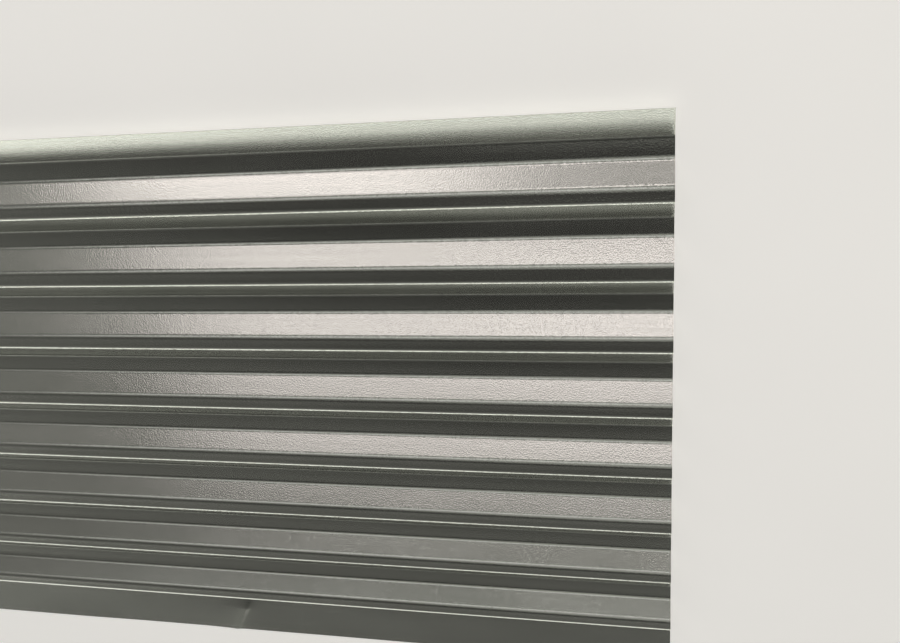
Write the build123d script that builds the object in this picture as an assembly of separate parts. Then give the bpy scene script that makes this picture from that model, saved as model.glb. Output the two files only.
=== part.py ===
from build123d import *
import math
import os

# Corrugated steel roofing sheet: one strip of thin galvanized steel, rolled into
# straight trapezoidal waves that run its whole length, and cut off square.
#
# Frame, in millimetres: +X along the waves, +Y across them, +Z up. The origin is
# under the middle of the sheet, at the height of the undersides of its valleys.
# The sheet lies with its valleys on the floor. Its +Y edge is cut off on a web, just
# below where a crest would begin, and its -Y edge ends in a flat flange.

# Size of the sheet
sheet_length = 2000.0
sheet_width = 665.0
sheet_thickness = 0.5

# One wave, between the sharp corners of the middle of the steel
wave_pitch = 73.1
wave_depth = 16.9
crest_flat = 13.9
web_run = 17.8

# The web that ends at the +Y edge is flatter than the others, and so is its valley narrower
edge_web_run = 28.0
edge_rise = 15.0
edge_valley = 17.4

# Least width of the flat flange at the -Y edge
least_flange = 25.0

# Radius on the inner side of each rolled bend
bend_radius = 6.8
centreline_radius = bend_radius + sheet_thickness / 2

# The square cut at the +Y edge leans with its web, so the middle of the steel stops short
edge_slope = math.atan2(edge_rise, edge_web_run)
edge_middle = sheet_width / 2 - sheet_thickness / 2 * math.sin(edge_slope)

# As many whole waves as fit between the edge valley and the flange
first_foot = edge_middle - edge_web_run - edge_valley
wave_width = crest_flat + 2 * web_run
room_for_waves = first_foot + sheet_width / 2 - least_flange
wave_count = int((room_for_waves - wave_width) // wave_pitch) + 1


def centreline_corners():
    """Sharp corners of the middle of the steel, from the +Y edge to the -Y edge, as (y, z)."""
    valley_z = sheet_thickness / 2
    crest_z = valley_z + wave_depth
    corners = [
        (edge_middle, valley_z + edge_rise),
        (edge_middle - edge_web_run, valley_z),
    ]
    for index in range(wave_count):
        foot = first_foot - index * wave_pitch
        corners.append((foot, valley_z))
        corners.append((foot - web_run, crest_z))
        corners.append((foot - web_run - crest_flat, crest_z))
        corners.append((foot - wave_width, valley_z))
    corners.append((-sheet_width / 2, valley_z))
    return corners


def direction(start, end):
    """Unit vector from one corner to the next."""
    run = math.hypot(end[0] - start[0], end[1] - start[1])
    return ((end[0] - start[0]) / run, (end[1] - start[1]) / run)


def along(point, heading, distance):
    """The point moved the way it is heading."""
    return (point[0] + heading[0] * distance, point[1] + heading[1] * distance)


def left_of(point, heading, distance):
    """The point moved sideways, to the left of the way it is heading."""
    return (point[0] - heading[1] * distance, point[1] + heading[0] * distance)


def bent_side(corners, shift):
    """One face of the bent steel: straight runs joined by arcs, shifted left of the centreline.

    Both faces of a bend share its centre, so the steel keeps its thickness round the bend.
    """
    headings = [direction(a, b) for a, b in zip(corners, corners[1:])]
    edges = []
    run_start = left_of(corners[0], headings[0], shift)
    for corner, before, after in zip(corners[1:], headings, headings[1:]):
        turn = math.acos(before[0] * after[0] + before[1] * after[1])
        setback = centreline_radius * math.tan(turn / 2)
        arc_start = left_of(along(corner, before, -setback), before, shift)
        arc_end = left_of(along(corner, after, setback), after, shift)
        edges.append(Line(run_start, arc_start))
        edges.append(TangentArc(arc_start, arc_end, tangent=before))
        run_start = arc_end
    edges.append(Line(run_start, left_of(corners[-1], headings[-1], shift)))
    return edges


def sheet_section():
    """The whole cross-section as one thin face, drawn with Y to the right and Z up."""
    corners = centreline_corners()
    upper = bent_side(corners, -sheet_thickness / 2)
    lower = bent_side(corners, sheet_thickness / 2)
    edge_cuts = [
        Line(upper[0] @ 0, lower[0] @ 0),
        Line(upper[-1] @ 1, lower[-1] @ 1),
    ]
    return make_face(Wire(upper + lower + edge_cuts))


def corrugated_sheet():
    """The section pushed along X from one cut end to the other."""
    section = Plane.YZ.offset(-sheet_length / 2) * sheet_section()
    return extrude(section, amount=sheet_length, dir=(1, 0, 0))


os.makedirs("parts", exist_ok=True)
export_step(corrugated_sheet(), "parts/corrugated_sheet.step")
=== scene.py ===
import math

import bpy
import numpy as np
from mathutils import Matrix, Vector


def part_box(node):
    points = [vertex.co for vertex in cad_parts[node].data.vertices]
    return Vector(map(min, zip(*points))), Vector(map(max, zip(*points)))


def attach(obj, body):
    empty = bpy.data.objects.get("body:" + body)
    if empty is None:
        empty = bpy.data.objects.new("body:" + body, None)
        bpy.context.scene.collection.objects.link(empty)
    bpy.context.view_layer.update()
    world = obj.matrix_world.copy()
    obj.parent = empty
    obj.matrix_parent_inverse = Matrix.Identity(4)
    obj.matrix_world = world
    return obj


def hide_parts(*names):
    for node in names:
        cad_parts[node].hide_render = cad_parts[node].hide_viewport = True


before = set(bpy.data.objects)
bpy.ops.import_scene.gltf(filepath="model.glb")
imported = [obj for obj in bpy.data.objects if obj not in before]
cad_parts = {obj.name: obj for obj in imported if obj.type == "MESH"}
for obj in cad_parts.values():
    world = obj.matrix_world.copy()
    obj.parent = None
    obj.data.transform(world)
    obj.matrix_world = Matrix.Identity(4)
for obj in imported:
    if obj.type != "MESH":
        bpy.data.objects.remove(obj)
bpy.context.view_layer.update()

low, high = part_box("corrugated_sheet")

# The visual model of one corrugated sheet of galvanized steel, on a pale studio floor.
# Frame, in metres: +X along the waves, +Y across them towards the camera, +Z up.

# The steel, and one wave between the sharp corners of the middle of the steel
sheet_thickness = 0.0005
wave_depth = high.z - low.z - sheet_thickness
wave_pitch = 0.0731
crest_flat = 0.0139
web_run = 0.0178

# The flatter web that ends at the +Y edge, and the valley beside it
edge_web_run = 0.028
edge_rise = 0.015
edge_valley = 0.0174

# Radius on the inner side of each bend, and the softer one of the first bend of each crest
bend_radius = 0.0068
soft_bend_radius = 0.0080

# The crests dish in and the valleys bulge up a little: their two halves lean by this slope
lean = 0.04

# The bend in the middle of a crest or valley fills this share of the room that it has
middle_bend_share = 0.98

# How far each wave's bends lie off the even waves, along Y: foot, crest, crest, foot.
# The last foot lies further out on all waves but the last, so their falling webs are flatter.
rolling_errors = [
    (-0.0012, -0.0013, 0.0000, -0.0030),
    (0.0028, 0.0012, 0.0000, -0.0030),
    (0.0015, 0.0003, 0.0000, -0.0030),
    (0.0010, 0.0000, 0.0000, -0.0030),
    (-0.0002, 0.0000, -0.0009, -0.0030),
    (0.0000, 0.0000, -0.0012, -0.0030),
    (0.0000, 0.0000, 0.0006, -0.0030),
    (0.0000, 0.0000, 0.0005, 0.0000),
]

# The flat flange at the -Y edge, which starts just past the last bend
flange_width = 0.0555
flange_start = low.y + flange_width

# The lazy wave along the edge of the flange: its height, the share of it that is even all along,
# and each ripple's share, length in metres to a radian, and phase
edge_wave_height = 0.0012
edge_wave_mean = 0.5
edge_ripples = [(0.3, 0.098, 0.6), (0.2, 0.041, 2.0)]

# The knock in the flange: where its crease starts and how far it slants by the edge
knock_x = 0.4945
knock_slant = 0.030

# Its height, the share of the flange at which it is highest, how it fades from there to the edge,
# and how wide it is on its steep +X side and its gentle -X side
knock_height = 0.0026
knock_peak = 0.25
knock_fade = 0.7
knock_steep_width = 0.005
knock_gentle_width = 0.014

# How finely the visible mesh is divided
steps_per_bend = 7
steps_per_lean = 3
steps_over_flange = 16
steps_along = 24

# The stretch of the sheet round the crease with more points along X, and how many
fine_before_crease = 0.08
fine_after_crease = 0.04
points_near_crease = 81

# Faces that meet at more than this angle have a crisp edge between them
crisp_angle = math.radians(40)


def bend_setback(radius, turn):
    """How far from its sharp corner a bend starts and ends; nothing yet where the radius is None."""
    if radius is None:
        return 0.0
    return (radius + sheet_thickness / 2) * math.tan(abs(turn) / 2)


def overshoot(run, rise, radius):
    """How far a corner between a web and a lean stands beyond the level that its arc just touches."""
    slope = math.atan2(rise, run)
    setback = bend_setback(radius, slope + lean)
    return setback * math.sin(lean) - (radius + sheet_thickness / 2) * (1 - math.cos(lean))


def leaning_middle(start, end, slope):
    """The corner in the middle of a level, where its two halves meet, each leaning by this slope."""
    reach = (start[0] - end[0]) / 2 + (end[1] - start[1]) / (2 * slope)
    return (start[0] - reach, start[1] + slope * reach, None)


def section_corners():
    """Sharp corners of the middle of the steel, from the +Y edge to the -Y edge.

    Each is (y, z, radius of its bend); a radius of None stands for the widest bend that fits.
    """
    valley_z = low.z + sheet_thickness / 2
    crest_z = valley_z + wave_depth
    edge_slope = math.atan2(edge_rise, edge_web_run)
    edge_middle = high.y - sheet_thickness / 2 * math.sin(edge_slope)
    corners = [(edge_middle, valley_z + edge_rise, 0)]
    foot = edge_middle - edge_web_run - edge_valley
    fall_foot, fall_run, fall_rise = edge_middle - edge_web_run, edge_web_run, edge_rise
    for foot_error, crest_start_error, crest_end_error, fall_foot_error in rolling_errors:
        rise_foot = foot + foot_error
        crest_start = foot - web_run + crest_start_error
        crest_end = foot - web_run - crest_flat + crest_end_error
        rise_run = rise_foot - crest_start
        valley = [
            (fall_foot, valley_z - overshoot(fall_run, fall_rise, bend_radius), bend_radius),
            (rise_foot, valley_z - overshoot(rise_run, wave_depth, bend_radius), bend_radius),
        ]
        fall_foot = foot - 2 * web_run - crest_flat + fall_foot_error
        fall_run, fall_rise = crest_end - fall_foot, wave_depth
        crest = [
            (crest_start, crest_z + overshoot(rise_run, wave_depth, soft_bend_radius), soft_bend_radius),
            (crest_end, crest_z + overshoot(fall_run, fall_rise, bend_radius), bend_radius),
        ]
        corners += [valley[0], leaning_middle(*valley, lean), valley[1]]
        corners += [crest[0], leaning_middle(*crest, -lean), crest[1]]
        foot -= wave_pitch
    corners.append((fall_foot, valley_z, bend_radius))
    corners.append((low.y, valley_z, 0))
    return corners


def straight_run(start, end, heading, steps=1):
    """Points and normals along a straight run, with both of its ends."""
    normal = np.array([heading[1], -heading[0]])
    return [(start + (end - start) * step / steps, normal) for step in range(steps + 1)]


def round_bend(start, heading, turn, radius, steps):
    """Points and normals inside the arc that leaves a point along a heading and turns by an angle."""
    side = math.copysign(1, turn)
    centre = start + np.array([-heading[1], heading[0]]) * radius * side
    spoke = start - centre
    bend = []
    for step in range(1, steps):
        angle = turn * step / steps
        turned = np.array([
            spoke[0] * math.cos(angle) - spoke[1] * math.sin(angle),
            spoke[0] * math.sin(angle) + spoke[1] * math.cos(angle),
        ])
        bend.append((centre + turned, turned / radius * side))
    return bend


def rounded_section():
    """Points along the middle of the steel with its normal at each, as two arrays of (y, z)."""
    corners = section_corners()
    places = [np.array(corner[:2]) for corner in corners]
    radii = [corner[2] for corner in corners]
    lengths = [np.linalg.norm(end - start) for start, end in zip(places, places[1:])]
    headings = [(end - start) / length for start, end, length in zip(places, places[1:], lengths)]
    turns = [0.0]
    for before, after in zip(headings, headings[1:]):
        turns.append(math.atan2(before[0] * after[1] - before[1] * after[0], before @ after))
    turns.append(0.0)
    setbacks = [bend_setback(radius, turn) for radius, turn in zip(radii, turns)]

    section = []
    start = places[0]
    for index in range(1, len(corners) - 1):
        before, after, turn = headings[index - 1], headings[index], turns[index]
        setback, steps = setbacks[index], steps_per_bend
        if radii[index] is None:
            room = min(lengths[index - 1] - setbacks[index - 1], lengths[index] - setbacks[index + 1])
            setback, steps = middle_bend_share * room, steps_per_lean
        bend_start = places[index] - before * setback
        section += straight_run(start, bend_start, before)
        section += round_bend(bend_start, before, turn, setback / math.tan(abs(turn) / 2), steps)
        start = places[index] + after * setback
    section += straight_run(start, places[-1], headings[-1], steps_over_flange)
    points, normals = zip(*section)
    return np.array(points), np.array(normals)


def flange_lift(x, y):
    """How far the -Y flange stands off the floor: a lazy wave along its edge and one creased knock."""
    reach = (flange_start - y) / flange_width
    if reach <= 0:
        return 0.0
    wave = edge_wave_mean
    for share, length, phase in edge_ripples:
        wave += share * math.sin(x / length + phase)
    across = x - (knock_x - knock_slant * reach)
    width = knock_steep_width if across > 0 else knock_gentle_width
    along = min(reach / knock_peak, 1.0 - knock_fade * (reach - knock_peak))
    knock = knock_height * along * math.exp(-abs(across) / width)
    return edge_wave_height * wave * reach ** 2 + knock


def places_along():
    """Where the mesh has points along X, to 0.01 mm: evenly spaced, and closer round the crease."""
    even = np.linspace(low.x, high.x, steps_along + 1)
    fine = np.linspace(knock_x - fine_before_crease, knock_x + fine_after_crease, points_near_crease)
    return np.unique(np.concatenate([even, fine]).round(5))


def build_sheet():
    """The rolled sheet as one closed mesh: upper face, lower face and the four cut edges."""
    points, normals = rounded_section()
    xs = places_along()
    rows = len(points)
    half = sheet_thickness / 2
    vertices = []
    for side in (half, -half):
        for x in xs:
            for point, normal in zip(points, normals):
                y, z = point + normal * side
                vertices.append((x, y, z + flange_lift(x, point[0])))
    layer = rows * len(xs)

    def at(side, column, row):
        return side * layer + column * rows + row

    faces = []
    for column in range(len(xs) - 1):
        for row in range(rows - 1):
            faces.append((at(0, column, row), at(0, column, row + 1),
                          at(0, column + 1, row + 1), at(0, column + 1, row)))
            faces.append((at(1, column, row), at(1, column + 1, row),
                          at(1, column + 1, row + 1), at(1, column, row + 1)))
        for row in (0, rows - 1):
            faces.append((at(0, column, row), at(0, column + 1, row),
                          at(1, column + 1, row), at(1, column, row)))
    for column in (0, len(xs) - 1):
        for row in range(rows - 1):
            faces.append((at(0, column, row), at(0, column, row + 1),
                          at(1, column, row + 1), at(1, column, row)))
    mesh = bpy.data.meshes.new("rolled_sheet")
    mesh.from_pydata(vertices, [], faces)
    mesh.update()
    sheet = bpy.data.objects.new("rolled_sheet", mesh)
    bpy.context.scene.collection.objects.link(sheet)
    return sheet


def smooth_flats_and_bends(sheet):
    """Smooth shading over the faces, with crisp cut edges."""
    bpy.context.view_layer.objects.active = sheet
    sheet.select_set(True)
    bpy.ops.object.mode_set(mode="EDIT")
    bpy.ops.mesh.select_all(action="SELECT")
    bpy.ops.mesh.normals_make_consistent(inside=False)
    bpy.ops.object.mode_set(mode="OBJECT")
    bpy.ops.object.shade_smooth_by_angle(angle=crisp_angle)
    weighted = sheet.modifiers.new("weighted_normals", "WEIGHTED_NORMAL")
    weighted.keep_sharp = True
    bpy.ops.object.modifier_apply(modifier=weighted.name)


class Nodes:
    """Short ways to add and join the nodes of a material or of the world."""

    def __init__(self, tree):
        self.tree = tree
        self.coordinates = tree.nodes.new("ShaderNodeTexCoord")

    def feed(self, socket, value):
        """Links another node's output to a socket, or sets a plain value on it."""
        if isinstance(value, bpy.types.NodeSocket):
            self.tree.links.new(value, socket)
        else:
            socket.default_value = value

    def add(self, kind, **values):
        """A new node with its inputs fed by name, where an underscore stands for a space."""
        node = self.tree.nodes.new(kind)
        for name, value in values.items():
            self.feed(node.inputs[name.replace("_", " ")], value)
        return node

    def noise(self, size, stretch=(1, 1, 1), detail=2.0):
        """Noise whose blobs are about one size across, in metres, after a stretch along X, Y, Z."""
        scale = tuple(1 / s for s in stretch)
        mapped = self.add("ShaderNodeMapping", Vector=self.coordinates.outputs["Object"], Scale=scale)
        return self.add("ShaderNodeTexNoise", Vector=mapped.outputs["Vector"],
                        Scale=1 / size, Detail=detail).outputs["Fac"]

    def between(self, factor, least, most, start=0.3, end=0.7):
        """A factor from start to end, mapped on to a range from least to most."""
        mapped = self.add("ShaderNodeMapRange", Value=factor, From_Min=start, From_Max=end,
                          To_Min=least, To_Max=most)
        return mapped.outputs["Result"]

    def join(self, operation, first, second):
        """Two values joined by a math operation, such as MULTIPLY."""
        node = self.tree.nodes.new("ShaderNodeMath")
        node.operation = operation
        self.feed(node.inputs[0], first)
        self.feed(node.inputs[1], second)
        return node.outputs["Value"]

    def mix_colours(self, factor, first, second):
        """The first colour where the factor is 0, and the second where it is 1."""
        mix = self.tree.nodes.new("ShaderNodeMix")
        mix.data_type = "RGBA"
        self.feed(mix.inputs["Factor"], factor)
        colours = [socket for socket in mix.inputs if socket.type == "RGBA"]
        self.feed(colours[0], first)
        self.feed(colours[1], second)
        return [socket for socket in mix.outputs if socket.type == "RGBA"][0]


def new_material(name):
    """A new material, its shader and the short ways to add nodes to it."""
    material = bpy.data.materials.new(name)
    material.use_nodes = True
    return material, material.node_tree.nodes["Principled BSDF"], Nodes(material.node_tree)


def galvanized_steel():
    """Bright zinc with the fine grain of the rolls, faint streaks along the sheet and dull patches."""
    material, shader, nodes = new_material("galvanized_steel")
    dull_zinc = (0.64, 0.655, 0.61, 1)
    bright_zinc = (0.69, 0.70, 0.66, 1)
    streaked_zinc = (0.60, 0.615, 0.575, 1)
    streak_strength = 0.5
    least_roughness, most_roughness = 0.15, 0.20
    grain_depth = 0.00013

    grain = nodes.noise(size=0.0012, detail=1.5)
    streaks = nodes.noise(size=0.004, stretch=(40, 1, 1))
    patches = nodes.noise(size=0.09, stretch=(2, 1, 1), detail=3.0)
    zinc = nodes.mix_colours(nodes.between(patches, 0, 1), dull_zinc, bright_zinc)
    zinc = nodes.mix_colours(nodes.between(streaks, 0, streak_strength), zinc, streaked_zinc)
    bump = nodes.add("ShaderNodeBump", Strength=1.0, Distance=grain_depth, Height=grain)
    nodes.feed(shader.inputs["Metallic"], 0.91)
    nodes.feed(shader.inputs["Base Color"], zinc)
    nodes.feed(shader.inputs["Roughness"], nodes.between(patches, least_roughness, most_roughness))
    nodes.feed(shader.inputs["Normal"], bump.outputs["Normal"])
    return material


def pale_floor():
    """Faintly mottled white, with a glow that is seen directly and in the steel but lights nothing."""
    material, shader, nodes = new_material("pale_floor")
    pale, paler = (0.77, 0.76, 0.74, 1), (0.80, 0.79, 0.77, 1)
    glow_strength = 0.5

    mottle = nodes.noise(size=0.25, detail=4.0)
    rays = nodes.add("ShaderNodeLightPath").outputs
    seen = nodes.join("MAXIMUM", rays["Is Camera Ray"], rays["Is Glossy Ray"])
    seen = nodes.join("MAXIMUM", seen, rays["Is Transmission Ray"])
    nodes.feed(shader.inputs["Base Color"], nodes.mix_colours(nodes.between(mottle, 0, 1), pale, paler))
    nodes.feed(shader.inputs["Roughness"], 0.8)
    nodes.feed(shader.inputs["Emission Color"], paler)
    nodes.feed(shader.inputs["Emission Strength"], nodes.join("MULTIPLY", seen, glow_strength))
    return material


def make_floor():
    """A plain pale floor under the sheet."""
    reach = 8.0
    corners = [(-reach, -reach, 0), (reach, -reach, 0), (reach, reach, 0), (-reach, reach, 0)]
    mesh = bpy.data.meshes.new("floor")
    mesh.from_pydata(corners, [], [(0, 1, 2, 3)])
    mesh.materials.append(pale_floor())
    floor = bpy.data.objects.new("floor", mesh)
    bpy.context.scene.collection.objects.link(floor)


def brightness_by_height(nodes, height, stops):
    """A colour ramp over the sine of the elevation, from (sine, brightness) pairs."""
    room_colour = (1, 1, 0.92)
    fade = nodes.add("ShaderNodeValToRGB", Fac=height)
    ramp = fade.color_ramp
    while len(ramp.elements) < len(stops):
        ramp.elements.new(0.5)
    for element, (place, tone) in zip(ramp.elements, stops):
        element.position = place
        element.color = [part * tone for part in room_colour] + [1]
    return fade.outputs["Color"]


def make_room():
    """A studio: pale walls low down, darker above, and a soft patch of light straight overhead.

    The far side (-Y) is brighter than the near side, and the two blend over the middle.
    """
    far_stops = [(0, 2.4), (0.13, 2.2), (0.22, 0.65), (0.38, 0.55), (0.5, 0.11), (0.7, 0.095),
                 (0.85, 0.01), (0.94, 0.02), (1, 0.35)]
    near_stops = [(0, 1.0), (0.25, 0.15), (0.5, 0.18), (0.65, 0.08), (0.78, 0.2), (0.88, 0.32),
                  (1, 0.35)]
    blend = 0.15

    world = bpy.data.worlds.new("studio")
    bpy.context.scene.world = world
    world.use_nodes = True
    nodes = Nodes(world.node_tree)
    parts = nodes.add("ShaderNodeSeparateXYZ", Vector=nodes.coordinates.outputs["Generated"]).outputs
    far_side = brightness_by_height(nodes, parts["Z"], far_stops)
    near_side = brightness_by_height(nodes, parts["Z"], near_stops)
    nearness = nodes.between(parts["Y"], 0, 1, start=-blend, end=blend)
    background = world.node_tree.nodes["Background"]
    nodes.feed(background.inputs["Color"], nodes.mix_colours(nearness, far_side, near_side))
    nodes.feed(background.inputs["Strength"], 1.0)


def soft_panel(name, place, aim, size, radiance, colour=(1, 1, 1)):
    """A soft rectangular lamp that faces a point; at radiance 1 it looks as bright as plain white."""
    lamp = bpy.data.lights.new(name, "AREA")
    lamp.shape = "RECTANGLE"
    lamp.size, lamp.size_y = size
    lamp.energy = radiance * math.pi * size[0] * size[1]
    lamp.color = colour
    lamp_object = bpy.data.objects.new(name, lamp)
    lamp_object.location = place
    lamp_object.rotation_euler = (Vector(aim) - Vector(place)).to_track_quat("-Z", "Y").to_euler()
    bpy.context.scene.collection.objects.link(lamp_object)
    return lamp


def make_lamps():
    """A wall of soft panels on the +Y side, a strip overhead and a softbox beyond the +X end."""
    warm_white = (1.0, 0.905, 0.91)
    cream = (1.0, 0.94, 0.85)
    wall_y = 3.4
    # Each panel on the +Y wall: name, least and greatest x, least and greatest z, radiance
    wall_panels = [
        ("low_left", -1.9, 0.2, 1.0, 1.6, 1.9),
        ("low_right", 0.2, 2.4, 1.0, 1.6, 0.6),
        ("middle_left", -1.9, 0.2, 1.6, 2.2, 0.5),
        ("high_left", -1.9, 0.2, 2.2, 2.8, 1.35),
        ("high_right", 0.2, 2.4, 2.2, 2.8, 1.8),
        ("top", -1.9, 2.4, 2.8, 3.4, 0.85),
    ]
    for name, left, right, bottom, top, radiance in wall_panels:
        middle_x, middle_z = (left + right) / 2, (bottom + top) / 2
        soft_panel(name, place=(middle_x, wall_y, middle_z), aim=(middle_x, 0.0, middle_z),
                   size=(right - left, top - bottom), radiance=radiance, colour=warm_white)
    soft_panel("overhead_strip", place=(0.3, 1.6, 4.0), aim=(0.3, 0.0, 0.0),
               size=(6.0, 1.2), radiance=0.4)
    side = soft_panel("side_softbox", place=(3.9, 3.3, 1.75), aim=(0.5, 0.0, 0.0),
                      size=(2.4, 2.4), radiance=1.0, colour=cream)
    side.spread = math.radians(80)


def make_camera():
    """The photograph's viewpoint: above the +Y edge near one cut end, looking down across the waves.

    Place, direction and lens were fitted to the lines of the waves and the edges of the sheet.
    """
    sensor_width_mm = 36
    focal_length_mm = 36.80
    place = Vector((0.98870, 0.58024, 0.70444))
    ahead = Vector((-0.222818, -0.524137, -0.821969)).normalized()
    image_right = Vector((0.974859, -0.118569, -0.188656))
    image_right = (image_right - ahead * image_right.dot(ahead)).normalized()
    image_up = image_right.cross(ahead)
    camera = bpy.data.cameras.new("camera")
    camera.sensor_width = sensor_width_mm
    camera.lens = focal_length_mm
    camera_object = bpy.data.objects.new("camera", camera)
    turn = Matrix((image_right, image_up, -ahead)).transposed().to_4x4()
    camera_object.matrix_world = Matrix.Translation(place) @ turn
    bpy.context.scene.collection.objects.link(camera_object)
    bpy.context.scene.camera = camera_object


sheet = build_sheet()
smooth_flats_and_bends(sheet)
sheet.data.materials.append(galvanized_steel())
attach(sheet, "root")
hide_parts("corrugated_sheet")
make_floor()
make_room()
make_lamps()
make_camera()
bpy.context.scene.view_settings.view_transform = "Standard"
